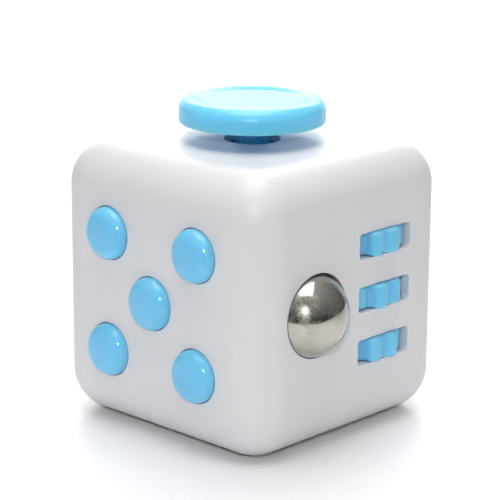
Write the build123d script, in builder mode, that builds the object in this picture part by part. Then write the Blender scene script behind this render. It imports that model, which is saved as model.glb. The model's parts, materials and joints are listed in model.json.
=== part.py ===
"""A hand-sized fidget cube: a white moulded shell with a different small mechanism behind each face.

Frame: millimetres, +Z up, origin at the centre of the cube's bottom face.
Faces: -Y five push buttons, +X ball and three rollers, +Z tilting thumb stick,
-X rocker switch, +Y spinning dial, -Z dished rest plate.
"""

import os
from math import atan2, cos, degrees, radians, sin, sqrt

from build123d import *

os.makedirs("parts", exist_ok=True)

# ---- Driving dimensions ----
SIDE = 33.0  # outside of the cube, face to face
HALF = SIDE / 2
MID = SIDE / 2  # height of the cube's centre
WALL = 2.0
INSIDE = HALF - WALL  # half width of the cavity
CEILING = SIDE - WALL
EDGE_R = 5.2  # rounding of the cube's edges
RUN = 0.1  # clearance of a running fit, per side
SLIP = 0.05  # clearance of a close fit, per side
LOOSE = 0.3  # clearance round what only has to be missed
PIN_PRESS = 0.01  # clearance of a pressed pin
PIN_CHAMFER = 0.15

# Small self-tapping screws, one size throughout
SCREW_R = 0.75
PILOT_R = 0.8
HEAD_R = 1.4
HEAD_H = 1.1
DRIVE_W = 0.4  # width of the cross recess in the head
DRIVE_L = 1.6
DRIVE_DEPTH = 0.5
BOSS_R = 1.7
BOSS_ROOT = 0.5  # how far a boss runs into its wall
PILOT_SPARE = 0.3  # pilot hole beyond the end of the screw
WIRE_R = 0.25  # spring wire
SPRING_GAP = 0.03
SCREW_GRIP = 2.4  # screw length inside a boss

# Push buttons, -Y face
BUTTON_PITCH = 7.0
BUTTON_MID = MID - 0.15  # height of the centre button
BUTTON_R = 3.1
BUTTON_PROUD = 1.6
BUTTON_EDGE = 1.45  # radius of the cap's rounded edge
BUTTON_CROWN = 0.15  # height of the cap's crown
BUTTON_FLANGE_R = 3.9
BUTTON_FLANGE_T = 0.8
MEMBRANE_T = 0.6
DOME_BASE_R = 3.0
DOME_TOP_R = 1.7
DOME_WALL = 0.4
DOME_SLOPE = 45.0
DOME_BORE_SLOPE = 41.0
SHEET_BACK = 11.6  # distance of the membrane's back from the cube's centre
BACKPLATE_T = 1.2
BACKPLATE_HALF = 13.2
MEMBRANE_HALF = 10.2
VENT_R = 0.5  # air hole under each dome
CLICK_BOSS = 11.3  # corner screws of the back plate

# Ball, +X face
BALL_R = 5.0
BALL_Y = -6.76
BALL_Z = 16.25
BALL_X = HALF - 1.7
BALL_POCKET_R = BALL_R + 0.2
POCKET_SHIFT = 0.08  # the loose ball rests low and to one side of its pocket
POCKET_LIFT = 0.1
SOCKET_R = 5.7
SOCKET_SEAT_R = BALL_R + 0.08
SOCKET_BACK = 8.6
SOCKET_FRONT = 13.2
BALL_BOSS = 7.4  # screws above and below the ball's centre
BALL_BOSS_R = 1.6
BALL_PLATE_FRONT = 6.0
BALL_PLATE_T = 1.0
BALL_NOTCH_X = 7.6  # where the button parts stop, to clear the socket
BALL_SPRING_R = 2.4
BALL_SPRING_PITCH = 1.0
BALL_SEAT_R = 3.4
BALL_PAD_R = 2.0
EAR_R = 2.5
EAR_WEB = 3.6
SOCKET_EAR_T = 1.6

# Rollers, +X face
ROLLER_X = 12.35
ROLLER_Y = 4.9
ROLLER_R = 5.2
ROLLER_T = 2.88
ROLLER_LOBES = 10
ROLLER_VALLEY = 0.82
ROLLER_PITCH = 6.32
ROLLER_EDGE = 0.35
ROLLER_GAP = 0.13
ROLLER_RELIEF = 0.15
LOBE_R = 1.0
ROLLER_PHASES = {"bottom": 15.2, "middle": 23.9, "top": 14.3}  # degrees, where each one was left
SLOT_H = 3.05
SLOT_HALF_W = 4.47
SLOT_CORNER = 0.5
AXLE_R = 0.75
AXLE_RUN = 0.06
BRACKET_FRONT = 6.9
BRACKET_T = 1.0
RIB_R = 1.7
END_RIB_T = 1.0
BRACKET_PAD_R = 2.0
BRACKET_SCREWS = [(12.0, 9.5), (12.0, 23.5), (4.9, 5.4)]  # (y, z)

# Thumb stick, +Z face
PIVOT_Z = 21.0
STICK_HOLE_R = 3.35
STEM_R = 1.85
STEM_ROOT_R = 0.5
DISC_R = 8.6
DISC_UNDER = 35.1
DISC_TOP = 37.9
DISC_SHOULDER = 1.35
DISH_R = 6.95
DISH_FLOOR_R = 5.9
DISH_DEPTH = 0.4
DOME_R = 11.5  # outer sphere of the stick's dome, about the pivot
DOME_T = 1.2
DOME_HALF_ANGLE = 27.0
WASHER_T = 0.9
WASHER_IN = 17.0  # degrees from the axis
WASHER_OUT = 25.0
STICK_SEAT = 32.1
STICK_HEAD_SEAT = 31.2
STICK_SPRING_R = 3.3
STICK_SPRING_PITCH = 0.75
DISC_CHAMFER = 0.15
RETAINER_HOLE_R = 1.8
RETAINER_TOP = 27.7
RETAINER_T = 1.0
RETAINER_R = 4.9
RETAINER_PAD_R = 2.0
STICK_BOSS_R = 8.0
STICK_BOSS_ANGLES = (75.0, 180.0, 285.0)

# Rocker, -X face
ROCKER_X = -13.0  # pivot line
ROCKER_W = 8.0
ROCKER_R = 7.6
ROCKER_LEAN = 9.0  # degrees either side of the middle
ROCKER_WAIST = 4.9  # pivot to the bottom of the V, along its middle
ROCKER_BACK = 0.9
ROCKER_HUB_R = 1.7
ROCKER_EDGE = 0.45
PIN_R = 0.75
PIN_HALF = 5.6
EAR_IN = 4.3
EAR_T = 1.3
FRAME_BACK = -9.4
FRAME_T = 1.2
FRAME_W = 18.8
FRAME_H = 15.6
FRAME_EAR_R = 1.35
STOP_W = 6.0
STOP_H = 1.2
STOP_INSET = 0.3
LEAF_T = 0.15
LEAF_W = 3.0
LEAF_HALF = 5.0
LEAF_GAP = 0.02
ROCKER_SCREWS = [(y, MID + z) for y in (-7.6, 7.6) for z in (-5.0, 5.0)]

# Dial, +Y face
DIAL_R = 7.6
DIAL_PROUD = 1.7
DIAL_GAP = 0.1
DIAL_EDGE = 0.45
DIAL_DISH_R = 6.5
DIAL_DISH_DEPTH = 0.35
DIMPLE_R = 2.1
DIMPLE_DEPTH = 0.75
DIMPLE_OFFSET = 3.7
SHAFT_R = 2.0
SHAFT_RUN = 0.08
DIAL_WASHER_R = 4.0
DIAL_WASHER_T = 0.5

# Rest plate, -Z face
COVER_HALF = 10.7
COVER_CORNER = 2.0
COVER_GAP = 0.1
COVER_LIP = 1.0  # depth of the step that the plate sits on
PLUG_HALF = 9.9
PLUG_TOP = 3.0
REST_DISH_R = 8.0
REST_DISH_DEPTH = 1.6
HOOK_W = 5.0
HOOK_REACH = 0.5
HOOK_ROOT = 0.2


def front_plane(y):
    """Plane facing -Y at the given y: local x is +X, local y is +Z."""
    return Plane(origin=(0, y, 0), x_dir=(1, 0, 0), z_dir=(0, -1, 0))


def right_plane(x):
    """Plane facing +X at the given x: local x is +Y, local y is +Z."""
    return Plane(origin=(x, 0, 0), x_dir=(0, 1, 0), z_dir=(1, 0, 0))


def left_plane(x):
    """Plane facing -X at the given x: local x is -Y, local y is +Z."""
    return Plane(origin=(x, 0, 0), x_dir=(0, -1, 0), z_dir=(-1, 0, 0))


def back_plane(y):
    """Plane facing +Y at the given y: local x is -X, local y is +Z."""
    return Plane(origin=(0, y, 0), x_dir=(-1, 0, 0), z_dir=(0, 1, 0))


def section_plane(x, y):
    """Upright plane through (x, y): local x is +X, local y is +Z."""
    return Plane(origin=(x, y, 0), x_dir=(1, 0, 0), z_dir=(0, -1, 0))


def sphere_cap_radius(rim, depth):
    """Radius of the sphere that cuts a dish of this rim radius and depth."""
    return (rim**2 + depth**2) / (2 * depth)


button_places = [
    ("upper_left", -BUTTON_PITCH, BUTTON_MID + BUTTON_PITCH),
    ("upper_right", BUTTON_PITCH, BUTTON_MID + BUTTON_PITCH),
    ("centre", 0, BUTTON_MID),
    ("lower_left", -BUTTON_PITCH, BUTTON_MID - BUTTON_PITCH),
    ("lower_right", BUTTON_PITCH, BUTTON_MID - BUTTON_PITCH),
]
button_points = [(x, z) for _, x, z in button_places]
click_screws = [(x, MID + z) for x in (-CLICK_BOSS, CLICK_BOSS) for z in (-CLICK_BOSS, CLICK_BOSS)]
ball_screws = [(BALL_Y, BALL_Z - BALL_BOSS), (BALL_Y, BALL_Z + BALL_BOSS)]
stick_screws = [
    (STICK_BOSS_R * cos(radians(a)), STICK_BOSS_R * sin(radians(a))) for a in STICK_BOSS_ANGLES
]
roller_heights = {
    "bottom": MID - ROLLER_PITCH,
    "middle": MID,
    "top": MID + ROLLER_PITCH,
}
backplate_back = -SHEET_BACK + BACKPLATE_T
frame_front = FRAME_BACK - FRAME_T
dome_inner_r = DOME_R - DOME_T


# ---- Shell and rest plate ----
# Every boss: the plane of its free end (facing into the wall it grows from), centres, radius, height
bosses = [
    (front_plane(-SHEET_BACK), click_screws, BOSS_R, INSIDE - SHEET_BACK + BOSS_ROOT),
    (right_plane(BALL_PLATE_FRONT), ball_screws, BALL_BOSS_R, INSIDE - BALL_PLATE_FRONT + BOSS_ROOT),
    (right_plane(BRACKET_FRONT), BRACKET_SCREWS, BOSS_R, INSIDE - BRACKET_FRONT + BOSS_ROOT),
    (left_plane(frame_front), ROCKER_SCREWS, BOSS_R, INSIDE + frame_front + BOSS_ROOT),
    (Plane.XY.offset(RETAINER_TOP), stick_screws, BOSS_R, CEILING - RETAINER_TOP + BOSS_ROOT),
]

with BuildPart() as main_shell:
    with BuildSketch():
        Rectangle(SIDE, SIDE)
    extrude(amount=SIDE)
    fillet(main_shell.edges(), radius=EDGE_R)
    # cavity with its own, tighter, rounding
    with BuildPart(mode=Mode.PRIVATE) as cavity:
        with BuildSketch(Plane.XY.offset(WALL)):
            Rectangle(2 * INSIDE, 2 * INSIDE)
        extrude(amount=SIDE - 2 * WALL)
        fillet(cavity.edges(), radius=EDGE_R - WALL)
    add(cavity.part, mode=Mode.SUBTRACT)
    # stepped opening for the rest plate
    with BuildSketch():
        RectangleRounded(2 * (COVER_HALF + COVER_GAP), 2 * (COVER_HALF + COVER_GAP), COVER_CORNER)
    extrude(amount=COVER_LIP, mode=Mode.SUBTRACT)
    with BuildSketch():
        RectangleRounded(2 * (PLUG_HALF + COVER_GAP), 2 * (PLUG_HALF + COVER_GAP), COVER_CORNER)
    extrude(amount=WALL, mode=Mode.SUBTRACT)
    # button holes
    with BuildSketch(front_plane(-INSIDE)):
        with Locations(*button_points):
            Circle(BUTTON_R + RUN)
    extrude(amount=WALL, mode=Mode.SUBTRACT)
    # round pocket that holds the ball from coming out
    with BuildSketch(section_plane(BALL_X, BALL_Y + POCKET_SHIFT)):
        with Locations((0, BALL_Z + POCKET_LIFT)):
            Circle(BALL_POCKET_R)
            Rectangle(BALL_POCKET_R, 2 * BALL_POCKET_R, align=(Align.MAX, Align.CENTER), mode=Mode.SUBTRACT)
    revolve(axis=Axis((BALL_X, BALL_Y + POCKET_SHIFT, BALL_Z), (0, 0, 1)), mode=Mode.SUBTRACT)
    # roller slots, relieved behind the opening to clear the turning lobes
    with BuildSketch(right_plane(INSIDE)):
        for height in roller_heights.values():
            with Locations((ROLLER_Y, height)):
                RectangleRounded(2 * SLOT_HALF_W, SLOT_H, SLOT_CORNER)
    extrude(amount=WALL, mode=Mode.SUBTRACT)
    for height in roller_heights.values():
        with BuildSketch(Plane.XY.offset(height - SLOT_H / 2)):
            with Locations((ROLLER_X, ROLLER_Y)):
                Circle(ROLLER_R + ROLLER_RELIEF)
        extrude(amount=SLOT_H, mode=Mode.SUBTRACT)
    # stick hole, and the round seat that the stick's dome turns in
    with BuildSketch(Plane.XY.offset(CEILING)):
        Circle(STICK_HOLE_R)
    extrude(amount=WALL, mode=Mode.SUBTRACT)
    with Locations((0, 0, PIVOT_Z)):
        Sphere(DOME_R + RUN, mode=Mode.SUBTRACT)
    # rocker window, its ends curved round the pivot line
    with BuildSketch(front_plane(ROCKER_W / 2 + RUN)):
        with Locations((ROCKER_X, MID)):
            Circle(ROCKER_R + RUN)
    extrude(amount=ROCKER_W + 2 * RUN, mode=Mode.SUBTRACT)
    # dial shaft hole
    with BuildSketch(back_plane(INSIDE)):
        with Locations((0, MID)):
            Circle(SHAFT_R + SHAFT_RUN)
    extrude(amount=WALL, mode=Mode.SUBTRACT)
    # screw bosses
    for plane, points, radius, height in bosses:
        with BuildSketch(plane):
            with Locations(*points):
                Circle(radius)
        extrude(amount=height)
    for plane, points, radius, height in bosses:
        with BuildSketch(plane):
            with Locations(*points):
                Circle(PILOT_R)
        extrude(amount=SCREW_GRIP + PILOT_SPARE, mode=Mode.SUBTRACT)
main_shell.part.label = "main_shell"
export_step(main_shell.part, "parts/main_shell.step")

rest_sphere_r = sphere_cap_radius(REST_DISH_R, REST_DISH_DEPTH)
rest_mid_height = REST_DISH_DEPTH - rest_sphere_r + sqrt(rest_sphere_r**2 - REST_DISH_R**2 / 4)
with BuildPart() as base_cover:
    with BuildSketch():
        RectangleRounded(2 * COVER_HALF, 2 * COVER_HALF, COVER_CORNER)
    extrude(amount=COVER_LIP)
    with BuildSketch(Plane.XY.offset(COVER_LIP)):
        RectangleRounded(2 * PLUG_HALF, 2 * PLUG_HALF, COVER_CORNER)
    extrude(amount=PLUG_TOP - COVER_LIP)
    # four snap hooks that reach over the shell's floor
    for turn in range(4):
        outward = Vector(1, 0, 0).rotate(Axis.Z, 90 * turn)
        side = Plane(origin=(0, 0, WALL + SLIP), x_dir=outward, z_dir=(0, 0, 1))
        with BuildSketch(side):
            with Locations((PLUG_HALF - HOOK_ROOT, 0)):
                Rectangle(HOOK_ROOT + HOOK_REACH, HOOK_W, align=(Align.MIN, Align.CENTER))
        extrude(amount=PLUG_TOP - WALL - SLIP)
    # shallow dish for rubbing with the thumb
    with BuildSketch(section_plane(0, 0)):
        with BuildLine():
            Line((0, 0), (REST_DISH_R, 0))
            ThreePointArc((REST_DISH_R, 0), (REST_DISH_R / 2, rest_mid_height), (0, REST_DISH_DEPTH))
            Line((0, REST_DISH_DEPTH), (0, 0))
        make_face()
    revolve(axis=Axis.Z, mode=Mode.SUBTRACT)
base_cover.part.label = "base_cover"
export_step(base_cover.part, "parts/base_cover.step")


def make_screws(name, plane, points, length):
    """One node of equal pan-head screws: the plane is under the heads and faces along the threads."""
    with BuildPart() as screws:
        with BuildSketch(plane):
            with Locations(*points):
                Circle(HEAD_R)
        extrude(amount=-HEAD_H)
        with BuildSketch(plane):
            with Locations(*points):
                Circle(SCREW_R)
        extrude(amount=length)
        with BuildSketch(plane.offset(-HEAD_H)):
            with Locations(*points):
                Rectangle(DRIVE_L, DRIVE_W)
                Rectangle(DRIVE_W, DRIVE_L)
        extrude(amount=DRIVE_DEPTH, mode=Mode.SUBTRACT)
    screws.part.label = name
    export_step(screws.part, f"parts/{name}.step")


def make_spring(name, seat, radius, length, pitch):
    """Round-wire compression spring standing on its seat plane, just shorter than the length."""
    with BuildPart() as spring:
        with BuildLine():
            coil = Helix(
                pitch=pitch,
                height=length - 2 * (WIRE_R + SPRING_GAP),
                radius=radius,
                center=seat.offset(WIRE_R + SPRING_GAP).origin,
                direction=seat.z_dir,
            )
        with BuildSketch(Plane(origin=coil @ 0, z_dir=coil % 0)):
            Circle(WIRE_R)
        sweep(path=coil, is_frenet=True)
    spring.part.label = name
    export_step(spring.part, f"parts/{name}.step")


def spherical_band(outer, inner, angle_in, angle_out):
    """Part of a hollow ball round the stick's pivot, between two angles from the upright axis."""
    def at(radius, angle):
        return (radius * sin(radians(angle)), PIVOT_Z + radius * cos(radians(angle)))

    middle = (angle_in + angle_out) / 2
    with BuildPart() as band:
        with BuildSketch(section_plane(0, 0)):
            with BuildLine():
                ThreePointArc(at(outer, angle_in), at(outer, middle), at(outer, angle_out))
                Line(at(outer, angle_out), at(inner, angle_out))
                ThreePointArc(at(inner, angle_out), at(inner, middle), at(inner, angle_in))
                Line(at(inner, angle_in), at(outer, angle_in))
            make_face()
        revolve(axis=Axis.Z)
    return band.part


# ---- Push buttons, membrane and back plate ----
button_face = -HALF - BUTTON_PROUD
flange_front = -INSIDE + RUN
crown_half = BUTTON_R - BUTTON_EDGE
crown_foot = button_face + BUTTON_CROWN
edge_mid = BUTTON_EDGE * sin(radians(45))
for place, x, z in button_places:
    button_axis = Axis((x, 0, z), (0, 1, 0))
    with BuildPart() as button:
        with BuildSketch(Plane.XY.offset(z)):
            with BuildLine():
                Line((x, flange_front + BUTTON_FLANGE_T), (x, button_face))
                ThreePointArc(
                    (x, button_face),
                    (x + crown_half / 2, button_face + BUTTON_CROWN / 4),
                    (x + crown_half, crown_foot),
                )
                ThreePointArc(
                    (x + crown_half, crown_foot),
                    (x + crown_half + edge_mid, crown_foot + BUTTON_EDGE - edge_mid),
                    (x + BUTTON_R, crown_foot + BUTTON_EDGE),
                )
                Polyline(
                    (x + BUTTON_R, crown_foot + BUTTON_EDGE),
                    (x + BUTTON_R, flange_front),
                    (x + BUTTON_FLANGE_R, flange_front),
                    (x + BUTTON_FLANGE_R, flange_front + BUTTON_FLANGE_T),
                    (x, flange_front + BUTTON_FLANGE_T),
                )
            make_face()
        revolve(axis=button_axis)
    button.part.label = f"button_{place}"
    export_step(button.part, f"parts/button_{place}.step")

sheet_front = -SHEET_BACK - MEMBRANE_T
dome_height = DOME_BASE_R - DOME_TOP_R
with BuildPart() as button_membrane:
    with BuildSketch(front_plane(-SHEET_BACK)):
        with Locations((0, MID)):
            Rectangle(2 * MEMBRANE_HALF, 2 * MEMBRANE_HALF)
        with Locations(*click_screws):
            Circle(BOSS_R + LOOSE, mode=Mode.SUBTRACT)
    extrude(amount=MEMBRANE_T)
    with BuildSketch(front_plane(sheet_front)):
        with Locations(*button_points):
            Circle(DOME_BASE_R)
    extrude(amount=dome_height, taper=DOME_SLOPE)
    with BuildSketch(front_plane(-SHEET_BACK)):
        with Locations(*button_points):
            Circle(DOME_BASE_R - DOME_WALL)
    extrude(amount=MEMBRANE_T + dome_height - DOME_WALL, taper=DOME_BORE_SLOPE, mode=Mode.SUBTRACT)
    with BuildSketch(right_plane(BALL_NOTCH_X)):
        with Locations((BALL_Y, BALL_Z)):
            Circle(SOCKET_R + LOOSE)
    extrude(amount=INSIDE - BALL_NOTCH_X, mode=Mode.SUBTRACT)
button_membrane.part.label = "button_membrane"
export_step(button_membrane.part, "parts/button_membrane.step")

with BuildPart() as button_backplate:
    with BuildSketch(front_plane(backplate_back)):
        with Locations((0, MID)):
            RectangleRounded(2 * BACKPLATE_HALF, 2 * BACKPLATE_HALF, BOSS_R)
        with Locations(*click_screws):
            Circle(SCREW_R + RUN, mode=Mode.SUBTRACT)
        with Locations(*button_points):
            Circle(VENT_R, mode=Mode.SUBTRACT)
    extrude(amount=BACKPLATE_T)
    # hollow for the ball's socket
    with BuildSketch(right_plane(BALL_NOTCH_X)):
        with Locations((BALL_Y, BALL_Z)):
            Circle(SOCKET_R + LOOSE)
    extrude(amount=INSIDE - BALL_NOTCH_X, mode=Mode.SUBTRACT)
button_backplate.part.label = "button_backplate"
export_step(button_backplate.part, "parts/button_backplate.step")

make_screws("backplate_screws", front_plane(backplate_back), click_screws, BACKPLATE_T + SCREW_GRIP)

# ---- Ball, its sprung socket and the plate behind them ----
with BuildPart() as steel_ball:
    with Locations((BALL_X, BALL_Y, BALL_Z)):
        Sphere(BALL_R)
steel_ball.part.label = "steel_ball"
export_step(steel_ball.part, "parts/steel_ball.step")

with BuildPart() as ball_socket:
    with BuildSketch(right_plane(SOCKET_BACK)):
        with Locations((BALL_Y, BALL_Z)):
            Circle(SOCKET_R)
    extrude(amount=SOCKET_FRONT - SOCKET_BACK)
    # two ears that slide on the bosses
    with BuildSketch(right_plane(SOCKET_BACK)):
        with Locations(*ball_screws):
            Circle(EAR_R)
        with Locations((BALL_Y, BALL_Z)):
            Rectangle(EAR_WEB, 2 * BALL_BOSS)
    extrude(amount=SOCKET_EAR_T)
    with Locations((BALL_X, BALL_Y, BALL_Z)):
        Sphere(SOCKET_SEAT_R, mode=Mode.SUBTRACT)
    with BuildSketch(right_plane(SOCKET_BACK)):
        with Locations(*ball_screws):
            Circle(BALL_BOSS_R + RUN)
    extrude(amount=SOCKET_FRONT - SOCKET_BACK, mode=Mode.SUBTRACT)
ball_socket.part.label = "ball_socket"
export_step(ball_socket.part, "parts/ball_socket.step")

make_spring(
    "ball_spring",
    Plane(origin=(BALL_PLATE_FRONT, BALL_Y, BALL_Z), x_dir=(0, 1, 0), z_dir=(1, 0, 0)),
    BALL_SPRING_R,
    SOCKET_BACK - BALL_PLATE_FRONT,
    BALL_SPRING_PITCH,
)

with BuildPart() as ball_retainer:
    with BuildSketch(right_plane(BALL_PLATE_FRONT - BALL_PLATE_T)):
        with Locations((BALL_Y, BALL_Z)):
            Circle(BALL_SEAT_R)
            Rectangle(EAR_WEB, 2 * BALL_BOSS)
        with Locations(*ball_screws):
            Circle(BALL_PAD_R)
            Circle(SCREW_R + RUN, mode=Mode.SUBTRACT)
    extrude(amount=BALL_PLATE_T)
ball_retainer.part.label = "ball_retainer"
export_step(ball_retainer.part, "parts/ball_retainer.step")

make_screws(
    "ball_retainer_screws",
    right_plane(BALL_PLATE_FRONT - BALL_PLATE_T),
    ball_screws,
    BALL_PLATE_T + SCREW_GRIP,
)

# ---- Three lobed rollers on one axle, in a ribbed bracket ----
# Each outline is lobe arcs joined smoothly by valley arcs.
half_pitch = 180 / ROLLER_LOBES
lobe_centre = ROLLER_R - LOBE_R
valley_floor = ROLLER_R - ROLLER_VALLEY
reach = lobe_centre * cos(radians(half_pitch))
valley_r = (lobe_centre**2 + valley_floor**2 - 2 * valley_floor * reach - LOBE_R**2) / (
    2 * (LOBE_R - valley_floor + reach)
)
valley_centre = valley_floor + valley_r
share = LOBE_R / (LOBE_R + valley_r)
join_u = lobe_centre + (valley_centre * cos(radians(half_pitch)) - lobe_centre) * share
join_v = valley_centre * sin(radians(half_pitch)) * share
join_r = sqrt(join_u**2 + join_v**2)
join_angle = degrees(atan2(join_v, join_u))


def around_axle(radius, angle):
    """Point at a polar position about the rollers' axle, angle in degrees from +X."""
    return (ROLLER_X + radius * cos(radians(angle)), ROLLER_Y + radius * sin(radians(angle)))


for place, height in roller_heights.items():
    with BuildPart() as roller:
        with BuildSketch(Plane.XY.offset(height - ROLLER_T / 2)):
            with BuildLine():
                for lobe in range(ROLLER_LOBES):
                    tip = ROLLER_PHASES[place] + lobe * 2 * half_pitch
                    lobe_end = around_axle(join_r, tip + join_angle)
                    valley_end = around_axle(join_r, tip + 2 * half_pitch - join_angle)
                    lobe_start = around_axle(join_r, tip - join_angle)
                    ThreePointArc(lobe_start, around_axle(ROLLER_R, tip), lobe_end)
                    ThreePointArc(lobe_end, around_axle(valley_floor, tip + half_pitch), valley_end)
            make_face()
        extrude(amount=ROLLER_T)
        fillet(roller.faces().filter_by(Axis.Z).edges(), radius=ROLLER_EDGE)
        with BuildSketch(Plane.XY.offset(height - ROLLER_T / 2)):
            with Locations((ROLLER_X, ROLLER_Y)):
                Circle(AXLE_R + AXLE_RUN)
        extrude(amount=ROLLER_T, mode=Mode.SUBTRACT)
    roller.part.label = f"roller_{place}"
    export_step(roller.part, f"parts/roller_{place}.step")

column_low = MID - ROLLER_PITCH - ROLLER_T / 2 - ROLLER_GAP - END_RIB_T
column_high = MID + ROLLER_PITCH + ROLLER_T / 2 + ROLLER_GAP + END_RIB_T
middle_rib_t = ROLLER_PITCH - ROLLER_T - 2 * ROLLER_GAP
ribs = [
    (column_low, END_RIB_T),
    (MID - ROLLER_PITCH / 2 - middle_rib_t / 2, middle_rib_t),
    (MID + ROLLER_PITCH / 2 - middle_rib_t / 2, middle_rib_t),
    (column_high - END_RIB_T, END_RIB_T),
]
bracket_back = BRACKET_FRONT - BRACKET_T
with BuildPart() as roller_bracket:
    with BuildSketch(right_plane(bracket_back)):
        with Locations(*BRACKET_SCREWS, (ROLLER_Y, column_high - BRACKET_PAD_R)):
            Circle(BRACKET_PAD_R)
        make_hull()
        with Locations(*BRACKET_SCREWS):
            Circle(SCREW_R + RUN, mode=Mode.SUBTRACT)
    extrude(amount=BRACKET_T)
    for low, thickness in ribs:
        with BuildSketch(Plane.XY.offset(low)):
            with Locations((ROLLER_X, ROLLER_Y)):
                Circle(RIB_R)
                Rectangle(ROLLER_X - bracket_back, 2 * RIB_R, align=(Align.MAX, Align.CENTER))
        extrude(amount=thickness)
    with BuildSketch(Plane.XY.offset(column_low)):
        with Locations((ROLLER_X, ROLLER_Y)):
            Circle(AXLE_R + PIN_PRESS)
    extrude(amount=column_high - column_low, mode=Mode.SUBTRACT)
roller_bracket.part.label = "roller_bracket"
export_step(roller_bracket.part, "parts/roller_bracket.step")

with BuildPart() as roller_axle:
    with BuildSketch(Plane.XY.offset(column_low)):
        with Locations((ROLLER_X, ROLLER_Y)):
            Circle(AXLE_R)
    extrude(amount=column_high - column_low)
    chamfer(roller_axle.faces().filter_by(Axis.Z).edges(), length=PIN_CHAMFER)
roller_axle.part.label = "roller_axle"
export_step(roller_axle.part, "parts/roller_axle.step")

make_screws("bracket_screws", right_plane(bracket_back), BRACKET_SCREWS, BRACKET_T + SCREW_GRIP)

# ---- Thumb stick: disc and stem, dome, friction washer, spring and retainer ----
shoulder_inner = DISC_R - DISC_SHOULDER
shoulder_low = DISC_TOP - DISC_SHOULDER
shoulder_mid = DISC_SHOULDER * sin(radians(45))
with BuildPart() as thumb_disc:
    with BuildSketch(section_plane(0, 0)):
        with BuildLine():
            Polyline(
                (0, STICK_SEAT),
                (STEM_R, STICK_SEAT),
                (STEM_R, DISC_UNDER),
                (DISC_R - DISC_CHAMFER, DISC_UNDER),
                (DISC_R, DISC_UNDER + DISC_CHAMFER),
                (DISC_R, shoulder_low),
            )
            ThreePointArc(
                (DISC_R, shoulder_low),
                (shoulder_inner + shoulder_mid, shoulder_low + shoulder_mid),
                (shoulder_inner, DISC_TOP),
            )
            Polyline(
                (shoulder_inner, DISC_TOP),
                (DISH_R, DISC_TOP),
                (DISH_FLOOR_R, DISC_TOP - DISH_DEPTH),
                (0, DISC_TOP - DISH_DEPTH),
                (0, STICK_SEAT),
            )
        make_face()
    revolve(axis=Axis.Z)
    # root of the stem, blended into the underside
    stem_root = thumb_disc.edges().filter_by(GeomType.CIRCLE).filter_by_position(
        Axis.Z, DISC_UNDER - SLIP, DISC_UNDER + SLIP
    ).sort_by(SortBy.RADIUS)[0]
    fillet(stem_root, radius=STEM_ROOT_R)
    with BuildSketch(Plane.XY.offset(STICK_SEAT)):
        Circle(PILOT_R)
    extrude(amount=SCREW_GRIP + PILOT_SPARE, mode=Mode.SUBTRACT)
thumb_disc.part.label = "thumb_disc"
export_step(thumb_disc.part, "parts/thumb_disc.step")

dome_band = spherical_band(DOME_R, dome_inner_r, 0, DOME_HALF_ANGLE)
with BuildPart() as stick_dome:
    add(dome_band)
    # flat seats for the stem above and the screw head below
    with BuildSketch(Plane.XY.offset(STICK_SEAT)):
        Circle(STEM_R + SLIP)
    extrude(amount=DOME_T, mode=Mode.SUBTRACT)
    with BuildSketch(Plane.XY.offset(STICK_HEAD_SEAT)):
        Circle(HEAD_R + RUN)
    extrude(amount=-DOME_T, mode=Mode.SUBTRACT)
    with BuildSketch(Plane.XY.offset(STICK_HEAD_SEAT)):
        Circle(SCREW_R + SLIP)
    extrude(amount=DOME_T, mode=Mode.SUBTRACT)
stick_dome.part.label = "stick_dome"
export_step(stick_dome.part, "parts/stick_dome.step")

stick_grip = STICK_SEAT - STICK_HEAD_SEAT + SCREW_GRIP
make_screws("stick_screw", Plane.XY.offset(STICK_HEAD_SEAT), [(0, 0)], stick_grip)

washer_outer = dome_inner_r - RUN
washer_band = spherical_band(washer_outer, washer_outer - WASHER_T, WASHER_IN, WASHER_OUT)
with BuildPart() as stick_washer:
    add(washer_band)
stick_washer.part.label = "stick_washer"
export_step(stick_washer.part, "parts/stick_washer.step")

washer_low = PIVOT_Z + (washer_outer - WASHER_T) * cos(radians(WASHER_OUT))
make_spring(
    "stick_spring",
    Plane.XY.offset(RETAINER_TOP),
    STICK_SPRING_R,
    washer_low - RETAINER_TOP,
    STICK_SPRING_PITCH,
)

with BuildPart() as stick_retainer:
    with BuildSketch(Plane.XY.offset(RETAINER_TOP - RETAINER_T)):
        Circle(RETAINER_R)
        with Locations(*stick_screws):
            Circle(RETAINER_PAD_R)
        for x, y in stick_screws:
            with Locations(Location((x / 2, y / 2), degrees(atan2(y, x)))):
                Rectangle(STICK_BOSS_R, 2 * BOSS_R)
        Circle(RETAINER_HOLE_R, mode=Mode.SUBTRACT)
        with Locations(*stick_screws):
            Circle(SCREW_R + RUN, mode=Mode.SUBTRACT)
    extrude(amount=RETAINER_T)
stick_retainer.part.label = "stick_retainer"
export_step(stick_retainer.part, "parts/stick_retainer.step")

make_screws(
    "stick_retainer_screws",
    Plane.XY.offset(RETAINER_TOP - RETAINER_T),
    stick_screws,
    RETAINER_T + SCREW_GRIP,
)

# ---- Rocker switch: paddle, pin, frame and leaf spring ----
lean = radians(ROCKER_LEAN)
v_height = ROCKER_R * sin(lean) / cos(lean)
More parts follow.
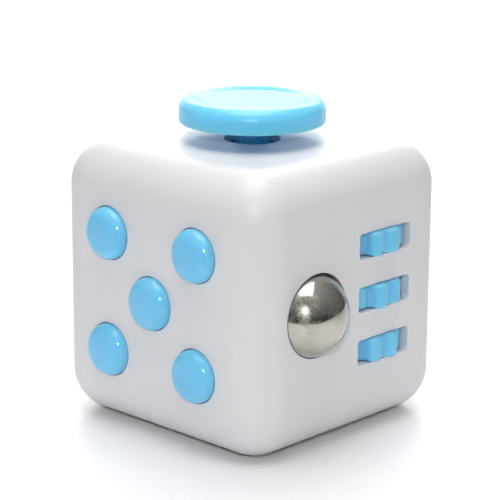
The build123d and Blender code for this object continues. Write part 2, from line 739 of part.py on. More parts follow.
# Section plane of the paddle, leaning to its rest stop with the lower end out: local x points outward
leaning = Plane(
    origin=(ROCKER_X, ROCKER_W / 2, MID), x_dir=(-cos(lean), 0, sin(lean)), z_dir=(0, -1, 0)
)
with BuildPart() as rocker:
    with BuildSketch(leaning):
        Circle(ROCKER_R)
        with BuildLine():
            Polyline(
                (ROCKER_WAIST, 0),
                (ROCKER_WAIST + v_height, ROCKER_R),
                (-ROCKER_BACK, ROCKER_R),
                (-ROCKER_BACK, -ROCKER_R),
                (ROCKER_WAIST + v_height, -ROCKER_R),
                (ROCKER_WAIST, 0),
            )
        make_face(mode=Mode.INTERSECT)
    extrude(amount=ROCKER_W)
    fillet(rocker.faces().sort_by(Axis.X)[:2].edges(), radius=ROCKER_EDGE)
    with BuildSketch(leaning):
        Circle(ROCKER_HUB_R)
    extrude(amount=ROCKER_W)
    with BuildSketch(leaning):
        Circle(PIN_R + AXLE_RUN)
    extrude(amount=ROCKER_W, mode=Mode.SUBTRACT)
rocker.part.label = "rocker"
export_step(rocker.part, "parts/rocker.step")

with BuildPart() as rocker_pin:
    with BuildSketch(front_plane(PIN_HALF)):
        with Locations((ROCKER_X, MID)):
            Circle(PIN_R)
    extrude(amount=2 * PIN_HALF)
    chamfer(rocker_pin.faces().filter_by(Axis.Y).edges(), length=PIN_CHAMFER)
rocker_pin.part.label = "rocker_pin"
export_step(rocker_pin.part, "parts/rocker_pin.step")

# the leaning paddle's back corners come this close to the frame
corner_v = sqrt(ROCKER_R**2 - ROCKER_BACK**2)
corner_x = ROCKER_X + ROCKER_BACK * cos(lean) + corner_v * sin(lean)
with BuildPart() as rocker_frame:
    with BuildSketch(left_plane(FRAME_BACK)):
        with Locations((0, MID)):
            RectangleRounded(FRAME_W, FRAME_H, BOSS_R)
        with Locations(*ROCKER_SCREWS):
            Circle(SCREW_R + RUN, mode=Mode.SUBTRACT)
    extrude(amount=FRAME_T)
    # stop pads under the paddle's two ends
    with BuildSketch(left_plane(frame_front)):
        with Locations((0, MID - corner_v + STOP_INSET), (0, MID + corner_v - STOP_INSET)):
            Rectangle(STOP_W, STOP_H)
    extrude(amount=frame_front - corner_x - SLIP)
    # ears that hold the pin
    for outer in (EAR_IN + EAR_T, -EAR_IN):
        with BuildSketch(front_plane(outer)):
            with Locations((ROCKER_X, MID)):
                Circle(FRAME_EAR_R)
                Rectangle(frame_front - ROCKER_X, 2 * FRAME_EAR_R, align=(Align.MIN, Align.CENTER))
        extrude(amount=EAR_T)
    with BuildSketch(front_plane(PIN_HALF)):
        with Locations((ROCKER_X, MID)):
            Circle(PIN_R + PIN_PRESS)
    extrude(amount=2 * PIN_HALF, mode=Mode.SUBTRACT)
rocker_frame.part.label = "rocker_frame"
export_step(rocker_frame.part, "parts/rocker_frame.step")

make_screws("rocker_frame_screws", left_plane(FRAME_BACK), ROCKER_SCREWS, FRAME_T + SCREW_GRIP)

# arched leaf, its ends on the frame and its crown just behind the paddle's hub
leaf_foot = frame_front - LEAF_T - LEAF_GAP
leaf_crown = ROCKER_X + ROCKER_HUB_R + SLIP
with BuildPart() as rocker_spring:
    with BuildSketch(front_plane(LEAF_W / 2)):
        with BuildLine():
            ThreePointArc((leaf_foot, MID - LEAF_HALF), (leaf_crown, MID), (leaf_foot, MID + LEAF_HALF))
            Line((leaf_foot, MID + LEAF_HALF), (leaf_foot + LEAF_T, MID + LEAF_HALF))
            ThreePointArc(
                (leaf_foot + LEAF_T, MID + LEAF_HALF),
                (leaf_crown + LEAF_T, MID),
                (leaf_foot + LEAF_T, MID - LEAF_HALF),
            )
            Line((leaf_foot + LEAF_T, MID - LEAF_HALF), (leaf_foot, MID - LEAF_HALF))
        make_face()
    extrude(amount=LEAF_W)
rocker_spring.part.label = "rocker_spring"
export_step(rocker_spring.part, "parts/rocker_spring.step")

# ---- Dial: disc and shaft, washer and screw ----
dial_under = HALF + DIAL_GAP
dial_face = HALF + DIAL_PROUD
dial_edge_mid = DIAL_EDGE * sin(radians(45))
shaft_end = INSIDE - RUN
washer_back = shaft_end - DIAL_WASHER_T
with BuildPart() as spin_dial:
    with BuildSketch(Plane.XY.offset(MID)):
        with BuildLine():
            Polyline(
                (0, shaft_end),
                (SHAFT_R, shaft_end),
                (SHAFT_R, dial_under),
                (DIAL_R, dial_under),
                (DIAL_R, dial_face - DIAL_EDGE),
            )
            ThreePointArc(
                (DIAL_R, dial_face - DIAL_EDGE),
                (DIAL_R - DIAL_EDGE + dial_edge_mid, dial_face - DIAL_EDGE + dial_edge_mid),
                (DIAL_R - DIAL_EDGE, dial_face),
            )
            Polyline(
                (DIAL_R - DIAL_EDGE, dial_face),
                (DIAL_DISH_R, dial_face),
                (DIAL_DISH_R - DIAL_DISH_DEPTH, dial_face - DIAL_DISH_DEPTH),
                (0, dial_face - DIAL_DISH_DEPTH),
                (0, shaft_end),
            )
        make_face()
    revolve(axis=Axis((0, 0, MID), (0, 1, 0)))
    # off-centre hollow for a fingertip
    dimple_sphere_r = sphere_cap_radius(DIMPLE_R, DIMPLE_DEPTH)
    dimple_y = dial_face - DIAL_DISH_DEPTH - DIMPLE_DEPTH + dimple_sphere_r
    with Locations((DIMPLE_OFFSET, dimple_y, MID)):
        Sphere(dimple_sphere_r, mode=Mode.SUBTRACT)
    with BuildSketch(back_plane(shaft_end)):
        with Locations((0, MID)):
            Circle(PILOT_R)
    extrude(amount=SCREW_GRIP + PILOT_SPARE, mode=Mode.SUBTRACT)
spin_dial.part.label = "spin_dial"
export_step(spin_dial.part, "parts/spin_dial.step")

with BuildPart() as dial_washer:
    with BuildSketch(back_plane(washer_back)):
        with Locations((0, MID)):
            Circle(DIAL_WASHER_R)
            Circle(SCREW_R + RUN, mode=Mode.SUBTRACT)
    extrude(amount=DIAL_WASHER_T)
dial_washer.part.label = "dial_washer"
export_step(dial_washer.part, "parts/dial_washer.step")

make_screws("dial_screw", back_plane(washer_back), [(0, MID)], DIAL_WASHER_T + SCREW_GRIP)
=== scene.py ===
"""Looks of the fidget cube: refined shell, buttons, ball, rollers, stick, rocker, dial and rest plate.

Everything is in metres, in the CAD frame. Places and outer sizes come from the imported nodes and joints. The
sizes of details are set here.
"""

import json
from math import asin, atan2, cos, degrees, pi, radians, sin, sqrt, tan

import bmesh
import bpy
from mathutils import Matrix, Quaternion, Vector


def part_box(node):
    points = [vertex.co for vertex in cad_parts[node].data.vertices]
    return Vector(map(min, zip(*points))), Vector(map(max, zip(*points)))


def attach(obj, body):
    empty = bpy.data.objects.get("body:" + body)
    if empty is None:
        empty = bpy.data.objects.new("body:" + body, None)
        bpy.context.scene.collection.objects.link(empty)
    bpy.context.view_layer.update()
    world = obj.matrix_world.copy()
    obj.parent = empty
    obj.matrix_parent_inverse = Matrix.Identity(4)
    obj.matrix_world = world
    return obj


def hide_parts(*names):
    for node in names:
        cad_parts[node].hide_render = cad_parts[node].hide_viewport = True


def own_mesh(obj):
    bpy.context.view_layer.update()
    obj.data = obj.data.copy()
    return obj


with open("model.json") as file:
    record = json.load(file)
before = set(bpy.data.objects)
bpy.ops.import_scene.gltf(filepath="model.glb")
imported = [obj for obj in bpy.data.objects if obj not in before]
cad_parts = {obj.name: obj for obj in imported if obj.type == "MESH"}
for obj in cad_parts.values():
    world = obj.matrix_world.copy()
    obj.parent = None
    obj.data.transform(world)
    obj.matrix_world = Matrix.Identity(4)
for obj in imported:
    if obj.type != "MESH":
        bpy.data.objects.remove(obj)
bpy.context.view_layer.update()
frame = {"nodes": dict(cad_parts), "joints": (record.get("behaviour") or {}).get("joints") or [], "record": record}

MM = 0.001
QUARTER = pi / 2

# ---- Where things are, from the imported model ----
joints = {joint["name"]: joint for joint in frame["joints"]}


def centre(node):
    low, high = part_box(node)
    return (low + high) / 2


def joint_place(name):
    return Vector(joints[name]["pos_m"])


shell_low, shell_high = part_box("main_shell")
SIDE = shell_high.z - shell_low.z
HALF = SIDE / 2
MID = SIDE / 2
WALL = 2.0 * MM
EDGE_R = 5.2 * MM
INSIDE = HALF - WALL

RUN = 0.1 * MM  # clearance between parts that slide
BORE_R = 0.81 * MM  # bore for the rollers' axle and the rocker's pin
BUTTON_R = 3.1 * MM
ROLLER_R = 5.2 * MM
STICK_DOME_R = 11.5 * MM
ROCKER_LEAN = radians(9.0)
BUTTONS = ("upper_left", "upper_right", "centre", "lower_left", "lower_right")
ROLLERS = ("bottom", "middle", "top")

ball_place = joint_place("ball_roll")
ball_radius = (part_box("steel_ball")[1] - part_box("steel_ball")[0]).z / 2


# ---- Mesh helpers ----
ON_AXIS = 1e-9  # a profile point nearer than this is on the axis
CRISP_REACH = 0.03 * MM
CORNER_STEPS = 8


def circle(radius, steps=128):
    return [(radius * cos(2 * pi * k / steps), radius * sin(2 * pi * k / steps)) for k in range(steps)]


def arc(cx, cy, radius, start, end, steps):
    """Points along a circular arc in the profile plane, angles in degrees."""
    points = []
    for i in range(steps + 1):
        angle = radians(start + (end - start) * i / steps)
        points.append((cx + radius * cos(angle), cy + radius * sin(angle)))
    return points


def guarded(points):
    """The same profile with a close point either side of each long straight run, so that it stays crisp."""
    out = [points[0]]
    for (x0, y0), (x1, y1) in zip(points, points[1:]):
        length = sqrt((x1 - x0) ** 2 + (y1 - y0) ** 2)
        if length > 6 * CRISP_REACH:
            share = CRISP_REACH / length
            out.append((x0 + (x1 - x0) * share, y0 + (y1 - y0) * share))
            out.append((x1 - (x1 - x0) * share, y1 - (y1 - y0) * share))
        out.append((x1, y1))
    return out


def axis_matrix(place, axis):
    """Takes local +Z to the axis and the local origin to the place."""
    turn = Vector((0, 0, 1)).rotation_difference(Vector(axis)).to_matrix().to_4x4()
    return Matrix.Translation(place) @ turn


def lathe(profile, place, axis, segments=128):
    """Turned solid: a profile of (radius, height) points round the axis, with both ends on the axis."""
    bm = bmesh.new()
    rings = []
    for radius, height in profile:
        if radius < ON_AXIS:
            rings.append([bm.verts.new((0, 0, height))])
            continue
        rings.append([bm.verts.new((x, y, height)) for x, y in circle(radius, segments)])
    for first, second in zip(rings, rings[1:]):
        for k in range(segments):
            n = (k + 1) % segments
            corners = [first[k % len(first)], first[n % len(first)]]
            corners += [second[n % len(second)], second[k % len(second)]]
            face = list(dict.fromkeys(corners))
            if len(face) > 2:
                bm.faces.new(face)
    bmesh.ops.recalc_face_normals(bm, faces=bm.faces)
    bm.transform(axis_matrix(place, axis))
    return bm


def to_object(name, bm):
    mesh = bpy.data.meshes.new(name)
    bm.to_mesh(mesh)
    bm.free()
    thing = bpy.data.objects.new(name, mesh)
    bpy.context.scene.collection.objects.link(thing)
    return thing


def smooth(thing, sharp_deg=40):
    """Smooth shading, with a crease wherever two faces meet at more than the angle."""
    mesh = thing.data
    for polygon in mesh.polygons:
        polygon.use_smooth = True
    mesh.set_sharp_from_angle(angle=radians(sharp_deg))
    return thing


def piece(name, bm, body, material, nodes):
    """A finished piece, from a mesh or an object: its material, its body, and the nodes it stands for."""
    thing = smooth(to_object(name, bm)) if isinstance(bm, bmesh.types.BMesh) else bm
    thing.data.materials.clear()
    thing.data.materials.append(material)
    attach(thing, body)
    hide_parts(*nodes)
    return thing


def rounded_box(low, high, radius, segments):
    bm = bmesh.new()
    bmesh.ops.create_cube(bm, size=1)
    size = Vector(high) - Vector(low)
    middle = (Vector(high) + Vector(low)) / 2
    bm.transform(Matrix.Translation(middle) @ Matrix.Diagonal((*size, 1)))
    bmesh.ops.bevel(
        bm,
        geom=bm.edges[:],
        offset=radius,
        segments=segments,
        profile=0.5,
        affect="EDGES",
        clamp_overlap=False,
    )
    return bm


def prism(outline, low, high, place, axis):
    """Straight prism on a closed outline of (x, y) points, between two heights along the axis."""
    bm = bmesh.new()
    bottom = [bm.verts.new((x, y, low)) for x, y in outline]
    top = [bm.verts.new((x, y, high)) for x, y in outline]
    bm.faces.new(list(reversed(bottom)))
    bm.faces.new(top)
    count = len(outline)
    for k in range(count):
        n = (k + 1) % count
        bm.faces.new((bottom[k], bottom[n], top[n], top[k]))
    bmesh.ops.recalc_face_normals(bm, faces=bm.faces)
    bm.transform(axis_matrix(place, axis))
    return bm


def cut(thing, cutters):
    """Takes the cutters away from the thing, then removes them."""
    group = bpy.data.collections.new("cutters")
    bpy.context.scene.collection.children.link(group)
    for cutter in cutters:
        bpy.context.scene.collection.objects.unlink(cutter)
        group.objects.link(cutter)
    boolean = thing.modifiers.new("cut", "BOOLEAN")
    boolean.operation = "DIFFERENCE"
    boolean.operand_type = "COLLECTION"
    boolean.collection = group
    boolean.solver = "EXACT"
    apply_modifiers(thing)
    for cutter in cutters:
        bpy.data.objects.remove(cutter, do_unlink=True)
    bpy.data.collections.remove(group)


def apply_modifiers(thing):
    depsgraph = bpy.context.evaluated_depsgraph_get()
    mesh = bpy.data.meshes.new_from_object(thing.evaluated_get(depsgraph))
    thing.modifiers.clear()
    thing.data = mesh


def ease_edges(thing, width, segments=3, angle=35):
    """Small rounding on every sharp edge, shaded so that the flat faces stay flat."""
    bevel = thing.modifiers.new("ease", "BEVEL")
    bevel.width = width
    bevel.segments = segments
    bevel.limit_method = "ANGLE"
    bevel.angle_limit = radians(angle)
    bevel.harden_normals = False
    apply_modifiers(thing)
    for polygon in thing.data.polygons:
        polygon.use_smooth = True
    weighted = thing.modifiers.new("weighted", "WEIGHTED_NORMAL")
    weighted.keep_sharp = True
    weighted.weight = 100
    apply_modifiers(thing)


# ---- Materials ----
IOR = 1.5


def material(name, colour, roughness, metallic=0.0):
    made = bpy.data.materials.new(name)
    made.use_nodes = True
    shader = made.node_tree.nodes["Principled BSDF"]
    shader.inputs["Base Color"].default_value = (*colour, 1)
    shader.inputs["Roughness"].default_value = roughness
    shader.inputs["Metallic"].default_value = metallic
    shader.inputs["IOR"].default_value = IOR
    return made, made.node_tree, shader


def noise(tree, scale, detail=2.0, rough=0.5):
    """Noise at a real scale: features of about 1 / scale metres."""
    where = tree.nodes.new("ShaderNodeTexCoord")
    made = tree.nodes.new("ShaderNodeTexNoise")
    made.inputs["Scale"].default_value = scale
    made.inputs["Detail"].default_value = detail
    made.inputs["Roughness"].default_value = rough
    tree.links.new(where.outputs["Object"], made.inputs["Vector"])
    return made


def blend_colours(tree, factor, first, second):
    mix = tree.nodes.new("ShaderNodeMix")
    mix.data_type = "RGBA"
    mix.inputs["A"].default_value = (*first, 1)
    mix.inputs["B"].default_value = (*second, 1)
    tree.links.new(factor, mix.inputs["Factor"])
    return mix.outputs["Result"]


def bump(tree, shader, height, strength, distance):
    node = tree.nodes.new("ShaderNodeBump")
    node.inputs["Strength"].default_value = strength
    node.inputs["Distance"].default_value = distance
    tree.links.new(height, node.inputs["Height"])
    tree.links.new(node.outputs["Normal"], shader.inputs["Normal"])


FLOW_SCALE = 220
GRAIN_SCALE = 9000
GRAIN_DEPTH = 0.02 * MM


def moulded_plastic(name, colour, shade, roughness, grain, glow=0.0, soak=2.2):
    """Injection-moulded plastic: faint flow mottling and a fine spark-eroded grain.

    The glow is the share of light that soaks in and comes out again some way off; the soak is that way in mm.
    """
    made, tree, shader = material(name, colour, roughness)
    shader.inputs["Subsurface Weight"].default_value = glow
    shader.inputs["Subsurface Radius"].default_value = (0.35, 0.8, 1.0)
    shader.inputs["Subsurface Scale"].default_value = soak * MM
    flow = noise(tree, FLOW_SCALE, 3.0)
    tree.links.new(blend_colours(tree, flow.outputs["Fac"], colour, shade), shader.inputs["Base Color"])
    fine = noise(tree, GRAIN_SCALE, 2.0)
    bump(tree, shader, fine.outputs["Fac"], grain, GRAIN_DEPTH)
    return made


white = moulded_plastic("white_plastic", (0.765, 0.77, 0.78), (0.74, 0.745, 0.755), 0.38, 0.2)
blue = moulded_plastic("blue_plastic", (0.19, 0.60, 0.92), (0.175, 0.575, 0.89), 0.3, 0.06, glow=0.7)
gloss_blue = moulded_plastic(
    "gloss_blue_plastic", (0.20, 0.62, 0.96), (0.185, 0.595, 0.93), 0.2, 0.05, glow=0.7
)
# A brighter, more translucent copy of the blue plastic. The extra translucency is real. The brighter colour is
# painted light that lifts the disc's stem and the stick's dome, which sit in shade under the disc.
painted_lit_blue = moulded_plastic(
    "painted_lit_blue_plastic", (0.20, 0.62, 1.0), (0.185, 0.60, 0.98), 0.3, 0.04, glow=1.0, soak=5.0
)
inner = moulded_plastic("inner_plastic", (0.62, 0.63, 0.65), (0.56, 0.57, 0.60), 0.5, 0.35)
silicone = moulded_plastic("silicone", (0.70, 0.73, 0.76), (0.66, 0.69, 0.72), 0.55, 0.2)

CLOUD_SCALE = 420
SCUFF_SCALE = 11000
SCUFF_RELIEF = 0.2
SCUFF_DEPTH = 0.006 * MM
WORN_EDGE = 0.12  # how quickly a polished patch turns into a worn one


def steel(name, colour, shade, polish, scuffed, wear):
    """Worked steel: polished between countless fine scuffs, which gather in cloudy worn patches."""
    made, tree, shader = material(name, colour, polish, metallic=1.0)
    cloud = noise(tree, CLOUD_SCALE, 4.0, 0.6)
    tree.links.new(blend_colours(tree, cloud.outputs["Fac"], colour, shade), shader.inputs["Base Color"])
    scuffs = noise(tree, SCUFF_SCALE, 2.0, 0.6)
    total = tree.nodes.new("ShaderNodeMath")
    total.operation = "MULTIPLY_ADD"
    tree.links.new(cloud.outputs["Fac"], total.inputs[0])
    total.inputs[1].default_value = wear
    tree.links.new(scuffs.outputs["Fac"], total.inputs[2])
    ranged = tree.nodes.new("ShaderNodeMapRange")
    middle = 0.5 + 0.5 * wear
    ranged.inputs["From Min"].default_value = middle
    ranged.inputs["From Max"].default_value = middle + WORN_EDGE
    ranged.inputs["To Min"].default_value = polish
    ranged.inputs["To Max"].default_value = scuffed
    tree.links.new(total.outputs["Value"], ranged.inputs["Value"])
    tree.links.new(ranged.outputs["Result"], shader.inputs["Roughness"])
    bump(tree, shader, scuffs.outputs["Fac"], SCUFF_RELIEF, SCUFF_DEPTH)
    return made


ball_steel = steel("ball_steel", (0.56, 0.54, 0.49), (0.44, 0.42, 0.37), 0.12, 0.38, 0.9)
screw_steel = steel("screw_steel", (0.55, 0.54, 0.52), (0.42, 0.41, 0.40), 0.25, 0.45, 0.5)
spring_steel = steel("spring_steel", (0.40, 0.40, 0.41), (0.33, 0.33, 0.34), 0.3, 0.45, 0.5)


# ---- Shell ----
THROUGH = 1.5 * WALL
BALL_CLEARANCE = 0.2 * MM
POCKET_SHIFT = Vector((0, 0.08, 0.1)) * MM  # the loose ball rests low and to one side of its pocket
SLOT_HALF_H = 1.525 * MM
SLOT_HALF_W = 4.47 * MM
SLOT_CORNER = 0.5 * MM
ROLLER_RELIEF = 0.15 * MM
STICK_HOLE_R = 3.35 * MM
ROCKER_WELL_R = 7.7 * MM
ROCKER_WELL_HALF = 4.1 * MM
DIAL_HOLE_R = 2.08 * MM
PLATE_SEAT_HALF = 10.8 * MM
PLATE_SEAT_DEPTH = 1 * MM
PLATE_PLUG_HALF = 10.0 * MM
PLATE_CORNER = 2.0 * MM
SHELL_EASE = 0.18 * MM


def slot_outline(half_width, half_height, radius):
    """Rectangle with round corners."""
    outline = []
    for side_x, side_y, start in ((1, 1, 0), (-1, 1, 90), (-1, -1, 180), (1, -1, 270)):
        corner_x = side_x * (half_width - radius)
        corner_y = side_y * (half_height - radius)
        outline += arc(corner_x, corner_y, radius, start, start + 90, CORNER_STEPS)
    return outline


def make_shell():
    shell = to_object("shell_body", rounded_box((-HALF, -HALF, 0), (HALF, HALF, SIDE), EDGE_R, 24))
    cutters = [rounded_box((-INSIDE, -INSIDE, WALL), (INSIDE, INSIDE, SIDE - WALL), EDGE_R - WALL, 8)]
    for name in BUTTONS:
        spot = centre(f"button_{name}")
        hole = circle(BUTTON_R + RUN)
        cutters.append(prism(hole, -THROUGH, THROUGH, (spot.x, -HALF, spot.z), (0, -1, 0)))
    # the ball's round pocket
    pocket = arc(0, 0, ball_radius + BALL_CLEARANCE, 90, -90, 64)
    cutters.append(lathe(pocket, ball_place + POCKET_SHIFT, (1, 0, 0), 128))
    # roller slots, with a round relief behind each
    for name in ROLLERS:
        axle = joint_place(f"roll_{name}")
        outline = slot_outline(SLOT_HALF_H, SLOT_HALF_W, SLOT_CORNER)
        cutters.append(prism(outline, -THROUGH, THROUGH, (HALF, axle.y, axle.z), (1, 0, 0)))
        relief = circle(ROLLER_R + ROLLER_RELIEF)
        cutters.append(prism(relief, -SLOT_HALF_H, SLOT_HALF_H, axle, (0, 0, 1)))
    cutters.append(prism(circle(STICK_HOLE_R), -THROUGH, THROUGH, (0, 0, SIDE), (0, 0, 1)))
    # the round seat that the stick's dome slides under
    dome_seat = arc(0, 0, STICK_DOME_R + RUN, 90, -90, 96)
    cutters.append(lathe(dome_seat, joint_place("stick_side"), (0, 0, 1), 160))
    # the rocker's round well and the hole for the dial's shaft
    well = circle(ROCKER_WELL_R, 192)
    cutters.append(prism(well, -ROCKER_WELL_HALF, ROCKER_WELL_HALF, joint_place("rocker_flip"), (0, 1, 0)))
    cutters.append(prism(circle(DIAL_HOLE_R, 64), -THROUGH, THROUGH, (0, HALF, MID), (0, 1, 0)))
    # the rest plate's seat, and the opening that its plug fills
    seat = slot_outline(PLATE_SEAT_HALF, PLATE_SEAT_HALF, PLATE_CORNER)
    cutters.append(prism(seat, -PLATE_SEAT_DEPTH, PLATE_SEAT_DEPTH, (0, 0, 0), (0, 0, 1)))
    plug = slot_outline(PLATE_PLUG_HALF, PLATE_PLUG_HALF, PLATE_CORNER)
    cutters.append(prism(plug, -PLATE_SEAT_DEPTH, THROUGH, (0, 0, 0), (0, 0, 1)))
    cut(shell, [to_object(f"cutter_{i}", bm) for i, bm in enumerate(cutters)])
    ease_edges(shell, SHELL_EASE)
    return shell


piece("shell_body", make_shell(), "shell", white, ["main_shell"])


# ---- Buttons ----
BUTTON_EDGE = 1.5 * MM
BUTTON_CROWN = 0.16 * MM
FLANGE_T = 0.8 * MM


def button_profile(radius, top, flange_r, flange_top, flange_low):
    """Crowned cap with a generous round edge, on a flange. Heights are along the outward axis."""
    flat_r = radius - BUTTON_EDGE
    crown_r = (flat_r**2 + BUTTON_CROWN**2) / (2 * BUTTON_CROWN)
    crown_half = degrees(asin(flat_r / crown_r))
    profile = arc(0, top - crown_r, crown_r, 90, 90 - crown_half, 12)
    profile[0] = (0, top)
    profile += arc(flat_r, top - BUTTON_CROWN - BUTTON_EDGE, BUTTON_EDGE, 90 - crown_half, 0, 14)[1:]
    profile += [
        (radius, flange_top),
        (flange_r, flange_top),
        (flange_r, flange_low),
        (0, flange_low),
    ]
    return guarded(profile)


for name in BUTTONS:
    low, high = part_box(f"button_{name}")
    spot = (low + high) / 2
    profile = button_profile(BUTTON_R, -low.y, (high.x - low.x) / 2, -high.y + FLANGE_T, -high.y)
    cap = lathe(profile, (spot.x, 0, spot.z), (0, -1, 0), 96)
    piece(f"cap_{name}", cap, f"button_{name}", gloss_blue, [f"button_{name}"])


# ---- Ball ----
ball_profile = arc(0, 0, ball_radius, 90, -90, 96)
ball_profile[0] = (0, ball_radius)
ball_profile[-1] = (0, -ball_radius)
piece(
    "polished_ball",
    lathe(ball_profile, ball_place, (0, 0, 1), 192),
    "ball",
    ball_steel,
    ["steel_ball"],
)


# ---- Rollers ----
LOBES = 10
LOBE_R = 1.0 * MM
VALLEY_DEPTH = 0.82 * MM
ROLLER_EDGE = 0.5 * MM
EDGE_STEPS = 6
LOBE_STEPS = 7
VALLEY_STEPS = 6
PHASES = {"bottom": 15.2, "middle": 23.9, "top": 14.3}  # degrees that each roller is turned at rest


def roller_outline(inset, phase):
    """The lobed outline drawn in by an inset: lobe arcs shrink and valley arcs grow."""
    half_pitch = pi / LOBES
    lobe_centre = ROLLER_R - LOBE_R
    floor = ROLLER_R - VALLEY_DEPTH
    reach = lobe_centre * cos(half_pitch)
    valley_r = (lobe_centre**2 + floor**2 - 2 * floor * reach - LOBE_R**2) / (2 * (LOBE_R - floor + reach))
    valley_centre = floor + valley_r
    lean = atan2(valley_centre * sin(half_pitch), valley_centre * cos(half_pitch) - lobe_centre)
    outline = []
    for lobe in range(LOBES):
        turn = radians(phase) + lobe * 2 * half_pitch
        for k in range(-LOBE_STEPS, LOBE_STEPS + 1):
            angle = turn + lean * k / LOBE_STEPS
            outline.append(
                (
                    lobe_centre * cos(turn) + (LOBE_R - inset) * cos(angle),
                    lobe_centre * sin(turn) + (LOBE_R - inset) * sin(angle),
                )
            )
        middle = turn + half_pitch
        swing = lean - half_pitch
        for k in range(1, VALLEY_STEPS):
            angle = middle + pi + swing - 2 * swing * k / VALLEY_STEPS
            outline.append(
                (
                    valley_centre * cos(middle) + (valley_r + inset) * cos(angle),
                    valley_centre * sin(middle) + (valley_r + inset) * sin(angle),
                )
            )
    return outline


def make_roller(place, thickness, phase):
    """Lobed disc with eased rims, bored for the axle."""
    bm = bmesh.new()
    half = thickness / 2
    rings = []
    levels = []
    for k in range(EDGE_STEPS + 1):
        angle = QUARTER * k / EDGE_STEPS
        levels.append((ROLLER_EDGE * (1 - sin(angle)), half - ROLLER_EDGE * (1 - cos(angle))))
    levels = levels + [(inset, -height) for inset, height in reversed(levels)]
    for inset, height in levels:
        rings.append([bm.verts.new((x, y, height)) for x, y in roller_outline(inset, phase)])
    count = len(rings[0])
    for upper, lower in zip(rings, rings[1:]):
        for k in range(count):
            n = (k + 1) % count
            bm.faces.new((upper[k], upper[n], lower[n], lower[k]))
    ends = []
    for ring, height in ((rings[0], half), (rings[-1], -half)):
        hole = []
        for v in ring:
            angle = atan2(v.co.y, v.co.x)
            hole.append(bm.verts.new((BORE_R * cos(angle), BORE_R * sin(angle), height)))
        ends.append(hole)
        for k in range(count):
            n = (k + 1) % count
            bm.faces.new((ring[k], hole[k], hole[n], ring[n]))
    for k in range(count):
        n = (k + 1) % count
        bm.faces.new((ends[0][k], ends[1][k], ends[1][n], ends[0][n]))
    bmesh.ops.recalc_face_normals(bm, faces=bm.faces)
    bm.transform(Matrix.Translation(place))
    return bm


for name in ROLLERS:
    low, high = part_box(f"roller_{name}")
    roller = make_roller(joint_place(f"roll_{name}"), high.z - low.z, PHASES[name])
    piece(f"lobed_roller_{name}", roller, f"roller_{name}", blue, [f"roller_{name}"])


# ---- Thumb stick ----
DISC_UNDER = 35.1 * MM  # height of the disc's underside


def make_disc():
    """Thick thumb disc: a flat dish inside a rolled rim, on a short stem."""
    low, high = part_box("thumb_disc")
    top = high.z
    radius = (high.x - low.x) / 2
    shoulder = 1.38 * MM
    crest_r = radius - shoulder
    dish_depth = 0.4 * MM
    floor_r = 5.6 * MM
    foot = 0.15 * MM
    stem_r = 1.85 * MM
    root = 0.5 * MM
    steps = 14
    profile = [(0, top - dish_depth), (floor_r / 2, top - dish_depth)]
    for k in range(steps + 1):
        share = k / steps
        profile.append((floor_r + (crest_r - floor_r) * share, top - dish_depth * (1 + cos(pi * share)) / 2))
    profile += arc(crest_r, top - shoulder, shoulder, 90, 0, 16)[1:]
    profile += arc(radius - foot, DISC_UNDER + foot, foot, 0, -90, 6)
    profile += arc(stem_r + root, DISC_UNDER - root, root, 90, 180, 6)
    profile += [(stem_r, low.z), (0, low.z)]
    return lathe(guarded(profile), (0, 0, 0), (0, 0, 1), 160)


# The disc and its stem are in the brighter blue, which is painted light on the stem where it stands in shade under
# the disc.
piece("dished_disc", make_disc(), "stick", painted_lit_blue, ["thumb_disc"])


# ---- Rocker ----
ROCKER_EASE = 0.42 * MM


def rocker_outline():
    """Section of the paddle: u points out of the cube, v along the paddle. A shallow V between two arcs."""
    swing_r = 7.6 * MM
    waist = 4.9 * MM
    back = 0.9 * MM
    hub_r = 1.7 * MM
    slope = tan(ROCKER_LEAN)
    square = 1 + slope**2
    tip_v = (sqrt((waist * slope) ** 2 + square * (swing_r**2 - waist**2)) - waist * slope) / square
    tip_angle = degrees(atan2(tip_v, waist + tip_v * slope))
    back_angle = 90 + degrees(asin(back / swing_r))
    hub_angle = 90 + degrees(asin(back / hub_r))
    outline = [(waist, 0)]
    outline += arc(0, 0, swing_r, tip_angle, back_angle, 16)
    outline += arc(0, 0, hub_r, hub_angle, 360 - hub_angle, 16)
    outline += arc(0, 0, swing_r, -back_angle, -tip_angle, 16)
    return outline


def make_rocker():
    """Rocker paddle at rest, leaning to one side, bored for its pin."""
    low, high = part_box("rocker")
    half = (high.y - low.y) / 2
    pivot = joint_place("rocker_flip")
    paddle = prism(rocker_outline(), -half, half, (0, 0, 0), (0, 0, 1))
    out = Vector((-cos(ROCKER_LEAN), 0, sin(ROCKER_LEAN)))
    along = Vector((-sin(ROCKER_LEAN), 0, -cos(ROCKER_LEAN)))
    frame_turn = Matrix((out, along, out.cross(along))).transposed().to_4x4()
    paddle.transform(Matrix.Translation(pivot) @ frame_turn)
    thing = to_object("rocker_paddle", paddle)
    ease_edges(thing, ROCKER_EASE, segments=6, angle=50)
    bore = prism(circle(BORE_R, 48), -2 * half, 2 * half, pivot, (0, 1, 0))
    cut(thing, [to_object("pin_bore", bore)])
    return smooth(thing, 50)


piece("rocker_paddle", make_rocker(), "rocker", blue, ["rocker"])


# ---- Dial ----
DIAL_GAP = 0.1 * MM
HOLLOW_OUT = 3.7 * MM  # how far the fingertip hollow is from the dial's axis
DIAL_EASE = 0.14 * MM


